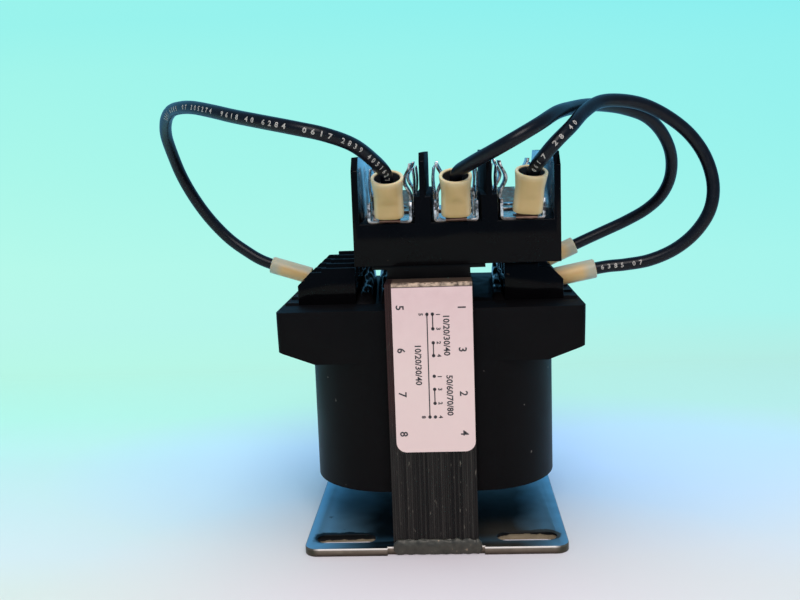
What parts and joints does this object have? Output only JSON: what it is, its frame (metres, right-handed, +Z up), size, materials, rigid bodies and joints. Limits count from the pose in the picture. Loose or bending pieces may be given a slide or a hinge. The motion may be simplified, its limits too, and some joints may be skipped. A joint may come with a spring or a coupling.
{
  "type": "control transformer",
  "caption": "Open-core control transformer on a slotted steel foot, with a moulded coil case, side terminal blocks, a fuse block on top and looped jumper leads.",
  "frame": {"origin": "middle of the mounting plate's underside", "axes": "+Z up out of the plate, Y along the core with the connector ends of the fuse block at -Y, X across the lamination stack"},
  "size_m": [0.1773, 0.1119, 0.1364],
  "materials": {
    "plated_steel": "bluish plated steel",
    "weld_steel": "dark varnished weld",
    "varnished_laminations": "dark varnish over steel edges",
    "nylon_former": "satin",
    "copper_winding": "enamelled copper",
    "insulation_paper": "matt",
    "moulded_epoxy": "glossy",
    "black_moulding": "semi-gloss",
    "painted_bracket": "dark paint",
    "tinned_brass": "tinned",
    "tinned_bronze": "bright tin",
    "spring_steel": "bright",
    "plated_fasteners": "bright plated",
    "nylon_sleeve": "translucent tan",
    "lead_insulation": "satin",
    "label_paper": "aged paper"
  },
  "bodies": {
    "root": {"mounting_plate": "plated_steel", "weld_bead_front": "weld_steel", "weld_bead_rear": "weld_steel", "e_core": "varnished_laminations", "i_core": "varnished_laminations", "coil_former": "nylon_former", "secondary_winding": "copper_winding", "winding_insulation": "insulation_paper", "primary_winding": "copper_winding", "coil_case": "moulded_epoxy", "left_terminal_block": "black_moulding", "right_terminal_block": "black_moulding", "left_terminal_plate_1": "tinned_brass", "left_terminal_plate_2": "tinned_brass", "left_terminal_plate_3": "tinned_brass", "left_terminal_plate_4": "tinned_brass", "right_terminal_plate_1": "tinned_brass", "right_terminal_plate_2": "tinned_brass", "right_terminal_plate_3": "tinned_brass", "right_terminal_plate_4": "tinned_brass", "left_clamp_washers": "plated_fasteners", "right_clamp_washers": "plated_fasteners", "left_terminal_screws": "plated_fasteners", "right_terminal_screws": "plated_fasteners", "fuse_block_bracket": "painted_bracket", "fuse_block": "black_moulding", "fuse_block_screws": "plated_fasteners", "front_clip_1": "tinned_bronze", "front_clip_2": "tinned_bronze", "front_clip_3": "tinned_bronze", "rear_clip_1": "tinned_bronze", "rear_clip_2": "tinned_bronze", "rear_clip_3": "tinned_bronze", "front_clip_spring_1": "spring_steel", "front_clip_spring_2": "spring_steel", "front_clip_spring_3": "spring_steel", "rear_clip_spring_1": "spring_steel", "rear_clip_spring_2": "spring_steel", "rear_clip_spring_3": "spring_steel", "clip_rivets": "plated_fasteners", "tab_receptacle_1": "tinned_brass", "tab_receptacle_2": "tinned_brass", "tab_receptacle_3": "tinned_brass", "tab_sleeve_1": "nylon_sleeve", "tab_sleeve_2": "nylon_sleeve", "tab_sleeve_3": "nylon_sleeve", "ring_terminal_1": "tinned_brass", "ring_terminal_2": "tinned_brass", "ring_terminal_3": "tinned_brass", "ring_sleeve_1": "nylon_sleeve", "ring_sleeve_2": "nylon_sleeve", "ring_sleeve_3": "nylon_sleeve", "lead_1": "lead_insulation", "lead_2": "lead_insulation", "lead_3": "lead_insulation", "label": "label_paper"}
  },
  "joints": []
}
